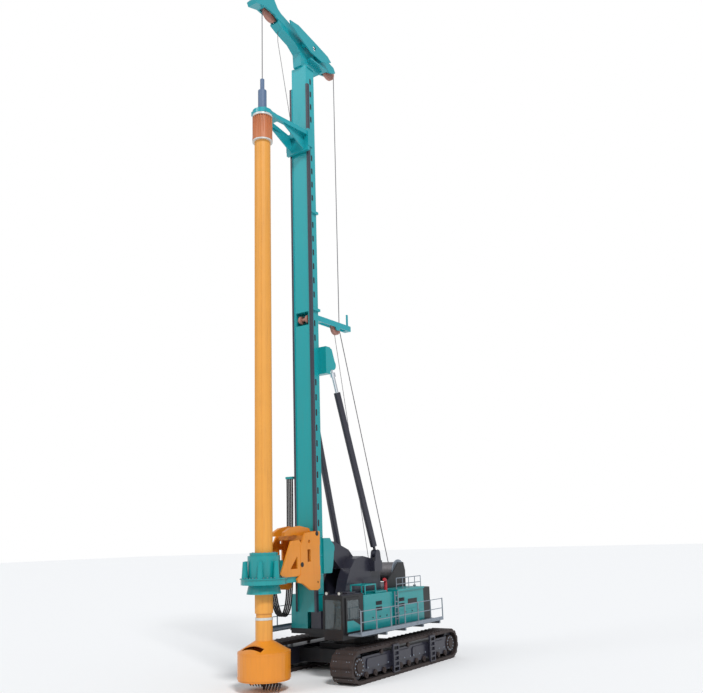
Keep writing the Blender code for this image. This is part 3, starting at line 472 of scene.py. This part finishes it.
# --- camera, floor and light --------------------------------------------------------------------------
def camera():
    lens = bpy.data.cameras.new("view")
    lens.lens = 40.6
    lens.sensor_width = 36.0
    lens.clip_end = 400
    made = bpy.data.objects.new("view", lens)
    bpy.context.scene.collection.objects.link(made)
    heading, rise, roll = (math.radians(a) for a in (-146.09, 13.62, -1.73))
    forward = Vector((math.cos(heading) * math.cos(rise), math.sin(heading) * math.cos(rise), math.sin(rise)))
    look = forward.to_track_quat("-Z", "Y").to_matrix().to_4x4()
    made.matrix_world = Matrix.Translation((30.52, 21.74, 5.685)) @ look @ Matrix.Rotation(roll, 4, "Z")
    bpy.context.scene.camera = made


def studio():
    work = bmesh.new()
    bmesh.ops.create_grid(work, x_segments=1, y_segments=1, size=300)
    mesh = bpy.data.meshes.new("floor")
    work.to_mesh(mesh)
    work.free()
    floor = bpy.data.objects.new("floor", mesh)
    bpy.context.scene.collection.objects.link(floor)
    pale = bpy.data.materials.new("pale_floor")
    pale.use_nodes = True
    tree = pale.node_tree
    shader = tree.nodes["Principled BSDF"]
    shader.inputs["Base Color"].default_value = (0.92, 0.92, 0.92, 1)
    shader.inputs["Roughness"].default_value = 0.9
    mesh.materials.append(pale)
    world = bpy.data.worlds.new("studio")
    world.use_nodes = True
    tree = world.node_tree
    soft = tree.nodes["Background"]
    soft.inputs["Color"].default_value = (0.93, 0.96, 1.0, 1)
    soft.inputs["Strength"].default_value = 0.55
    white = tree.nodes.new("ShaderNodeBackground")
    white.inputs["Color"].default_value = (1, 1, 1, 1)
    white.inputs["Strength"].default_value = 1.0
    rays = tree.nodes.new("ShaderNodeLightPath")
    choose = tree.nodes.new("ShaderNodeMixShader")
    tree.links.new(rays.outputs["Is Camera Ray"], choose.inputs["Fac"])
    tree.links.new(soft.outputs[0], choose.inputs[1])
    tree.links.new(white.outputs[0], choose.inputs[2])
    tree.links.new(choose.outputs[0], tree.nodes["World Output"].inputs["Surface"])
    bpy.context.scene.world = world
    for name, place, turn, energy, size in (
            ("key", (35, 45, 45), (45, 0, 142), 1.9, 12), ("fill", (45, -20, 30), (58, 0, 66), 0.45, 20)):
        lamp = bpy.data.lights.new(name, "SUN")
        lamp.energy = energy
        lamp.angle = math.radians(size)
        made = bpy.data.objects.new(name, lamp)
        made.location = place
        made.rotation_euler = [math.radians(a) for a in turn]
        bpy.context.scene.collection.objects.link(made)
    bpy.context.scene.view_settings.view_transform = "Standard"


camera()
studio()
# --- feed hoses: a fixed length each, hanging from the mast's bracket to the drive's manifold ------------
HOSE_RADIUS = 0.035
HOSE_ROUTE = [(3.45, 8.40), (3.45, 7.60), (3.46, 6.60), (3.48, 5.60), (3.50, 4.60), (3.54, 3.70),
              (3.66, 2.95), (3.92, 2.55), (4.26, 2.62), (4.50, 3.00), (4.62, 3.40), (4.78, 3.72),
              (5.05, 3.88), (5.40, 3.90)]
HOSE_Y = (-0.90, -1.00, -1.10, -1.20)
HOSE_KNOTS = 36


def smooth_route(points, share):
    """A point of the Catmull-Rom curve through the route's points."""
    spans = len(points) - 1
    i = min(int(share * spans), spans - 1)
    t = share * spans - i
    pad = [points[0], *points, points[-1]]
    a, b, c, d = pad[i:i + 4]
    return [0.5 * (2 * q + (r - p) * t + (2 * p - 5 * q + 4 * r - s) * t * t
                   + (3 * q - p - 3 * r + s) * t ** 3) for p, q, r, s in zip(a, b, c, d)]


def feed_hoses():
    for number, y in enumerate(HOSE_Y, 1):
        line = []
        for i in range(HOSE_KNOTS):
            x, z = smooth_route(HOSE_ROUTE, i / (HOSE_KNOTS - 1))
            line.append((x, y, z))
        hose = tube("feed_hose_line_%d" % number, line, HOSE_RADIUS, None, "rubber", 3)
        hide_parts("feed_hose_%d" % number)
        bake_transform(hose)


feed_hoses()

# --- undercarriage ----------------------------------------------------------------------------------------
TRACK_OUTER_Y = 2.86
SHOE_WIDTH = 1.05
TRACK_R = corners("track_left")[1].z / 2
TRACK_STRAIGHT = 4.60 - TRACK_R
SHOE_COUNT = 54


def loop_place(share, radius):
    """A point on the track's loop and its slope there, once round from 0 to 1."""
    straight = 2 * TRACK_STRAIGHT
    bend = math.pi * TRACK_R
    along = (share % 1.0) * 2 * (straight + bend)
    if along < straight:
        return (-TRACK_STRAIGHT + along, TRACK_R - radius), math.pi
    along -= straight
    if along < bend:
        turn = along / TRACK_R - QUARTER
        return (TRACK_STRAIGHT + radius * math.cos(turn), TRACK_R + radius * math.sin(turn)), QUARTER - turn
    along -= bend
    if along < straight:
        return (TRACK_STRAIGHT - along, TRACK_R + radius), 0.0
    turn = (along - straight) / TRACK_R + QUARTER
    return (-TRACK_STRAIGHT + radius * math.cos(turn), TRACK_R + radius * math.sin(turn)), QUARTER - turn


def track_trim():
    pitch = 2 * (2 * TRACK_STRAIGHT + math.pi * TRACK_R) / SHOE_COUNT
    for side, sign in (("left", 1), ("right", -1)):
        middle_y = sign * (TRACK_OUTER_Y - SHOE_WIDTH / 2)
        shoes = []
        links = []
        bolts = []
        for shoe in range(SHOE_COUNT):
            (x, z), turn = loop_place((shoe + 0.75) / SHOE_COUNT, TRACK_R - 0.026)
            shoes.append(((x, middle_y, z), (0, turn, 0)))
            (x, z), turn = loop_place((shoe + 0.5) / SHOE_COUNT, TRACK_R - 0.115)
            for y in (-0.36, 0.36):
                links.append(((x, middle_y + y, z), (0, turn, 0)))
            (x, z), turn = loop_place((shoe + 0.9) / SHOE_COUNT, TRACK_R - 0.022)
            for y in (-0.38, -0.26, 0.26, 0.38):
                bolts.append(((x, middle_y + y, z), (0, turn, 0)))
        repeated("track_shoes_" + side, block((pitch * 0.55, SHOE_WIDTH - 0.02, 0.018)), shoes,
                 "undercarriage", "track_steel")
        repeated("track_links_" + side, block((pitch * 0.8, 0.05, 0.10)), links,
                 "undercarriage", "black")
        repeated("track_bolts_" + side, bolt(0.017, 0.014), bolts, "undercarriage", "grey")


FRAME_FACE = TRACK_OUTER_Y - 0.10        # outer face of the side frame


def side_frame_trim():
    for side, sign in (("left", 1), ("right", -1)):
        face = sign * FRAME_FACE
        trim = Pile()
        for i in range(11):
            x = -3.4 + i * 0.68
            trim.rod((x, face - sign * 0.06, 0.31), (x, face + sign * 0.035, 0.31), 0.125, 20)
            trim.rod((x, face, 0.31), (x, face + sign * 0.055, 0.31), 0.055, 14)
        for x in (-2.4, 0.0, 2.2):
            trim.rod((x, face - sign * 0.05, 1.07), (x, face + sign * 0.03, 1.07), 0.10, 20)
        for x in (-TRACK_STRAIGHT, TRACK_STRAIGHT):
            trim.rod((x, face - sign * 0.1, TRACK_R), (x, face + sign * 0.02, TRACK_R), 0.36, 32)
            trim.rod((x, face, TRACK_R), (x, face + sign * 0.06, TRACK_R), 0.20, 28)
        trim.piece("track_rollers_" + side, "undercarriage", "track_steel", 0.006)
        plates = Pile()
        for low, high in ((-3.35, -2.25), (-1.55, -0.35), (-0.20, 0.95), (1.65, 3.35)):
            outline = [(low, 0.52), (high, 0.52), (high, 0.80), (high - 0.08, 0.92), (low + 0.08, 0.92),
                       (low, 0.80)]
            plates.plate(outline, (face, face + sign * 0.014))
        plates.piece("side_frame_panels_" + side, "undercarriage", "dark_frame", 0.004)
        turn = TO_LEFT if sign > 0 else TO_RIGHT
        places = []
        for low, high in ((-3.35, -2.25), (-1.55, -0.35), (-0.20, 0.95), (1.65, 3.35)):
            for x in (low + 0.07, (low + high) / 2, high - 0.07):
                places.append(((x, face + sign * 0.014, 0.58), turn))
        for x in (-TRACK_STRAIGHT, TRACK_STRAIGHT):
            for i in range(12):
                angle = math.tau * i / 12
                places.append(((x + 0.29 * math.cos(angle), face + sign * 0.02,
                                TRACK_R + 0.29 * math.sin(angle)), turn))
        repeated("side_frame_bolts_" + side, bolt(), places, "undercarriage", "grey")


def slew_bolts():
    places = []
    for i in range(48):
        angle = math.tau * i / 48
        places.append(((0.90 * math.cos(angle), 0.90 * math.sin(angle), 1.40), UP))
    ring = Pile()
    ring.rod((0, 0, 1.375), (0, 0, 1.40), 0.965, 64)
    ring.piece("slew_ring_flange", "undercarriage", "track_steel", 0.004)


track_trim()
side_frame_trim()
slew_bolts()

# --- hoods, deck and cab ------------------------------------------------------------------------------------
DECK_TOP = 1.84
HOOD_FACE = 1.98
HOOD_TOP = corners("hood_front_left")[1].z
FRONT_HOOD = (-0.085, 2.26)
REAR_HOOD = (-2.96, -0.50)


def hood_doors():
    """Low service doors under plain upper panels that carry paired louvre slots."""
    rows = (("rear_left", REAR_HOOD, 4, 1, (-0.90,)), ("front_left", FRONT_HOOD, 4, 1, (1.05,)),
            ("right", (REAR_HOOD[0], FRONT_HOOD[1]), 8, -1, (-2.2, -0.4, 1.4)))
    for label, span, count, sign, slots in rows:
        panels = Pile()
        grilles = Pile()
        latches = Pile()
        slats = []
        face = sign * HOOD_FACE
        width = (span[1] - span[0] - 0.06) / count
        proud = 0.003 if label == "front_left" else 0.008    # the cab's door slides past the front hood
        for i in range(count):
            low = span[0] + 0.03 + i * width
            high = low + width - 0.022
            panels.plate([(low, DECK_TOP + 0.05), (high, DECK_TOP + 0.05), (high, 2.42), (low, 2.42)],
                         (face, face + sign * proud))
            if label == "front_left" and i == count - 1:
                continue
            latches.rod((high - 0.07, face, 2.33), (high - 0.07, face + sign * 0.026, 2.33), 0.030, 16)
        panels.plate([(span[0] + 0.03, 2.45), (span[1] - 0.05, 2.45), (span[1] - 0.05, HOOD_TOP - 0.11),
                      (span[0] + 0.03, HOOD_TOP - 0.11)], (face, face + sign * proud))
        for x in slots:
            for z in (2.66, 2.90):
                grilles.plate([(x - 0.24, z - 0.08), (x + 0.24, z - 0.08), (x + 0.24, z + 0.08),
                               (x - 0.24, z + 0.08)], (face, face + sign * 0.012))
                for step in (-0.045, 0.0, 0.045):
                    slats.append(((x, face + sign * 0.018, z + step), (-sign * 0.6, 0, 0)))
        name = "hood_doors_" + label
        panels.piece(name, "upper", "teal", 0.003)
        grilles.piece(name + "_grilles", "upper", "black", 0.002)
        latches.piece(name + "_latches", "upper", "black", 0.003)
        repeated(name + "_louvres", block((0.46, 0.006, 0.028)), slats, "upper", "dark_frame")
    plate = Pile()
    plate.plate([(-2.30, 2.66), (-1.45, 2.66), (-1.45, 2.88), (-2.30, 2.88)], (HOOD_FACE, HOOD_FACE + 0.014))
    plate.piece("blank_name_plate", "upper", "black", 0.004)


def deck_trim():
    trim = Pile()
    for sign in (1, -1):
        for i in range(58):
            x = -3.46 + i * 0.122
            low, high = sorted((sign * 2.07, sign * 2.70))
            trim.box((x, x + 0.012), (low, high), (DECK_TOP + 0.010, DECK_TOP + 0.022))
    trim.piece("walkway_treads", "upper", "grey")
    edge = Pile()
    for sign in (1, -1):
        low, high = sorted((sign * 2.705, sign * 2.715))
        edge.box((-3.5, 3.6), (low, high), (DECK_TOP - 0.04, DECK_TOP + 0.11))
    edge.piece("walkway_kick_plates", "upper", "grey")
    weight = Pile()
    for y in (-1.2, 1.2):
        weight.box((-3.757, -3.74), (y - 0.30, y + 0.30), (2.05, 3.10))
        weight.rod((-3.5, y, HOOD_TOP), (-3.5, y, HOOD_TOP + 0.09), 0.07, 20)
    weight.box((-3.757, -3.74), (-0.55, 0.55), (2.05, 3.10))
    weight.piece("counterweight_panels", "upper", "dark_frame", 0.01)
    lamps = Pile()
    for y in (-1.75, 1.75):
        lamps.box((-3.762, -3.70), (y - 0.06, y + 0.06), (2.3, 2.5))
    lamps.piece("tail_lamps", "upper", "red", 0.008)


def roof_trim():
    exhaust = [(-0.30, 1.52, HOOD_TOP - 0.02), (-0.30, 1.52, 3.62), (-0.28, 1.53, 3.72),
               (-0.22, 1.56, 3.79), (-0.12, 1.60, 3.82), (0.02, 1.66, 3.83)]
    tube("exhaust_elbow", exhaust, 0.075, "upper", "red", 5)
    rails = ((-2.85, 1.92), (-0.60, 1.92))
    for z in (0.28, 0.55):
        tube("roof_rail_left_%d" % round(z * 100), [(x, y, HOOD_TOP + z) for x, y in rails], 0.019,
             "upper", "grey", 3)
    posts = Pile()
    for i in range(5):
        x = rails[0][0] + (rails[1][0] - rails[0][0]) * i / 4
        posts.rod((x, 1.92, HOOD_TOP + 0.04), (x, 1.92, HOOD_TOP + 0.56), 0.018, 10)
    posts.piece("roof_rail_posts", "upper", "grey")
    frame_box = Pile()
    for x in (1.10, 1.95):
        for y in (1.12, 1.86):
            frame_box.box((x - 0.025, x + 0.025), (y - 0.025, y + 0.025), (HOOD_TOP, HOOD_TOP + 0.42))
    for x in (1.10, 1.95):
        frame_box.box((x - 0.02, x + 0.02), (1.12, 1.86), (HOOD_TOP + 0.37, HOOD_TOP + 0.42))
    for y in (1.12, 1.86):
        frame_box.box((1.10, 1.95), (y - 0.02, y + 0.02), (HOOD_TOP + 0.37, HOOD_TOP + 0.42))
    frame_box.piece("roof_frame", "upper", "teal", 0.004)
    covers = Pile()
    for low, high in ((-2.80, -1.95), (-1.80, -0.75), (0.05, 0.95)):
        covers.box((low, high), (1.15, 1.80), (HOOD_TOP + 0.0, HOOD_TOP + 0.075))
    covers.piece("roof_covers", "upper", "teal", 0.015)


def cab_trim():
    face = corners("cab_door")[1].y
    skirt = Pile()
    skirt.plate([(2.62, 1.93), (3.60, 1.93), (3.60, 2.36), (3.15, 2.36), (2.62, 2.12)], (face, face + 0.006))
    skirt.piece("cab_door_panel", "cab_door", "teal", 0.003)
    handle = [(2.70, face, 2.42), (2.70, face + 0.05, 2.45), (2.70, face + 0.05, 2.75), (2.70, face, 2.78)]
    tube("cab_door_handle", handle, 0.012, "cab_door", "grey", 3)
    top = corners("cab")[1].z
    lamps = Pile()
    for y in (1.15, 1.80):
        lamps.box((3.70, 3.82), (y - 0.09, y + 0.09), (top + 0.02, top + 0.16))
        lamps.rod((3.76, y, top - 0.01), (3.76, y, top + 0.03), 0.02, 10)
    lamps.piece("cab_lamp_housings", "upper", "black", 0.012)
    lenses = Pile()
    for y in (1.15, 1.80):
        lenses.rod((3.82, y, top + 0.09), (3.828, y, top + 0.09), 0.062, 24)
    lenses.piece("cab_lamp_lenses", "upper", "pale")
    roof = Pile()
    roof.box((2.32, 3.83), (0.99, 1.96), (top, top + 0.035))
    roof.box((2.55, 3.20), (1.18, 1.78), (top + 0.035, top + 0.10))
    roof.piece("cab_roof", "upper", "dark_frame", 0.015)
    wiper = Pile()
    wiper.rod((3.853, 1.50, 2.02), (3.862, 1.62, 2.75), 0.010, 8)
    wiper.rod((3.862, 1.60, 2.35), (3.862, 1.64, 3.05), 0.008, 8)
    wiper.piece("cab_wiper", "upper", "black")


hood_doors()
deck_trim()
roof_trim()
cab_trim()

# --- winches and ropes --------------------------------------------------------------------------------------
ROPE = 0.019


def wound_rope(name, node, body, radius, half, layers=1):
    centre = middle(node)
    turns = int(2 * half / (2 * ROPE))
    per_turn = 20
    line = []
    for i in range(turns * per_turn + 1):
        angle = math.tau * i / per_turn
        line.append((centre.x - SLEW + radius * math.cos(angle), -half + 2 * half * i / (turns * per_turn),
                     centre.z + radius * math.sin(angle)))
    tube(name, line, ROPE, body, "rope", 1)


def rope(name, body, points, radius=ROPE, look="rope"):
    return tube(name, points, radius, body, look, 2)


wound_rope("main_winch_rope", "main_winch_drum", "main_winch", 0.44, 0.78)
wound_rope("aux_winch_rope", "aux_winch_drum", "aux_winch", 0.26, 0.72)
rope("kelly_rope", "mast", [(6.50, 0, 3.0), (6.50, 0, 30.74)], 0.022)
rope("crown_rope", "mast", [(5.98, 0, 31.26), (1.15, 0, 30.52)], 0.022)
rope("mast_rear_rope", "mast", [(0.63, 0, 30.0), (0.71, 0, 15.80)], 0.022)
rope("mast_front_rope", "mast", [(5.20, -0.10, 30.3), (5.20, -0.10, 29.6), (4.05, -0.30, 26.0)], 0.014)
winch_rope = rope("winch_rope", None, [(-2.95, 0.1, 4.33), (0.71, 0, 15.80)], 0.022)
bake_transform(winch_rope)
aux_rope = rope("aux_winch_rope_run", None, [(-1.85, -0.2, 3.45), (1.0, -0.1, 15.60)], 0.014)
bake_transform(aux_rope)

# --- mast ------------------------------------------------------------------------------------------------------
MAST_FACE = 0.44
FLANGES = (16.17, 21.07, 28.86)


def mast_trim():
    for side, sign in (("left", 1), ("right", -1)):
        slots = []
        bolts = []
        for i in range(32):
            z = 6.4 + i * 0.70
            near_flange = any(abs(z - flange) < 0.35 for flange in FLANGES)
            if near_flange or 12.7 < z < 14.5:
                continue
            slots.append(((3.33, sign * (MAST_FACE + 0.001), z), UP))
        # painted shade: thin black ovals on the mast face stand in for the shade inside its slots
        oval = bmesh.new()
        for end in (-0.10, 0.10):
            bmesh.ops.create_cone(oval, cap_ends=True, segments=20, radius1=0.055, radius2=0.055, depth=0.006,
                                  matrix=Matrix.Translation((0, 0, end)) @ Matrix.Rotation(QUARTER, 4, "X"))
        bmesh.ops.create_cube(oval, size=1.0, matrix=Matrix.Diagonal((0.108, 0.0062, 0.2, 1)))
        repeated("mast_slots_" + side, template_from(oval), slots, "mast", "black")
        rims = [(point, turn) for point, turn in slots]
        repeated("mast_slot_rims_" + side, block((0.17, 0.006, 0.36)), [((p[0], sign * (MAST_FACE - 0.002), p[2]), t)
                                                                       for p, t in rims],
                 "mast", "pale_teal")
        plates = Pile()
        face = sign * MAST_FACE
        for z in FLANGES:
            low, high = sorted((face, face + sign * 0.05))
            for step in (-0.055, 0.005):
                plates.box((3.02, 3.57), (low, high), (z + step, z + step + 0.05))
            for x in (3.08, 3.20, 3.32, 3.44, 3.54):
                bolts.append(((x, face + sign * 0.03, z + 0.055), UP))
        for z in (3.4, 4.2, 5.0, 5.8):
            low, high = sorted((face, face + sign * 0.03))
            plates.box((3.06, 3.56), (low, high), (z, z + 0.04))
        plates.piece("mast_flanges_" + side, "mast", "pale_teal", 0.004)
        repeated("mast_flange_bolts_" + side, bolt(0.022, 0.025), bolts, "mast", "grey")


mast_trim()

# --- kelly, drive, carriage and bucket ---------------------------------------------------------------------------
KELLY_X = 6.50
KELLY_RADIUS = 0.365


def ring_places(radius, z, count, turned=UP, x=KELLY_X):
    return [((x + radius * math.cos(math.tau * i / count), radius * math.sin(math.tau * i / count), z), turned)
            for i in range(count)]


def kelly_trim():
    keys = Pile()
    for i in range(6):
        angle = math.tau * (i + 0.5) / 6
        x = KELLY_X + KELLY_RADIUS * math.cos(angle)
        y = KELLY_RADIUS * math.sin(angle)
        keys.rod((x, y, 3.05), (x, y, 23.55), 0.012, 8)
    keys.piece("kelly_keys", "kelly_outer", "kelly")
    ribs = Pile()
    low, high = corners("kelly_damper")
    outer = (high.y - low.y) / 2 - 0.02
    for i in range(24):
        angle = math.tau * i / 24
        x, y = KELLY_X + outer * 0.97 * math.cos(angle), outer * 0.97 * math.sin(angle)
        ribs.rod((x, y, low.z + 0.05), (x, y, high.z - 0.05), 0.022, 8)
    ribs.piece("damper_ribs", "kelly_outer", "damper", 0.004)
    collar = Pile()
    for z in (low.z - 0.06, high.z - 0.11):
        collar.rod((KELLY_X, 0, z), (KELLY_X, 0, z + 0.10), outer + 0.015, 40)
    collar.piece("kelly_rings", "kelly_outer", "pale", 0.008)
    lower = Pile()
    lower.rod((KELLY_X, 0, 2.64), (KELLY_X, 0, 2.74), KELLY_RADIUS - 0.012, 40)
    lower.piece("kelly_lower_ring", "kelly_inner", "pale", 0.006)


def drive_trim():
    low, high = corners("rotary_drive")
    repeated("drive_deck_bolts", bolt(0.024, 0.024), ring_places(0.86, 4.27, 36), "drive", "grey")
    sleeve_top = corners("drive_sleeve")[1].z
    repeated("sleeve_bolts", bolt(0.020, 0.02), ring_places(0.47, sleeve_top, 16), "drive_sleeve", "grey")
    band = Pile()
    band.rod((KELLY_X, 0, 4.62), (KELLY_X, 0, 5.00), 0.64, 48)
    band.piece("drive_band", "drive", "black", 0.02)
    pins = Pile()
    for x, z in ((3.95, 3.95), (3.95, 5.95), (5.0, 4.7)):
        for sign in (1, -1):
            pins.rod((x, sign * 0.79, z), (x, sign * 0.815, z), 0.10, 24)
            pins.rod((x, sign * 0.80, z), (x, sign * 0.82, z), 0.05, 16)
    pins.piece("carriage_pins", "drive", "black", 0.004)


def bucket_trim():
    low, high = corners("bucket")
    radius = (high.y - low.y) / 2
    bands = Pile()
    bands.rod((KELLY_X, 0, low.z + 0.02), (KELLY_X, 0, low.z + 0.09), radius + 0.006, 64)
    bands.rod((KELLY_X, 0, 1.39), (KELLY_X, 0, 1.44), radius + 0.005, 64)
    bands.piece("bucket_bands", "kelly_inner", "orange", 0.003)
    floor = corners("bucket_door")[0].z
    teeth = Pile()
    for sign in (1, -1):
        for i in range(6):
            y = sign * (0.16 + i * 0.15)
            teeth.rod((KELLY_X + sign * 0.10, y, floor + 0.02), (KELLY_X + sign * 0.24, y, floor - 0.24), 0.06, 8, 0.02)
    teeth.rod((KELLY_X, 0, floor + 0.02), (KELLY_X, 0, floor - 0.28), 0.13, 16, 0.02)
    teeth.piece("bucket_teeth", "bucket_door", "track_steel", 0.004)


kelly_trim()
drive_trim()
bucket_trim()
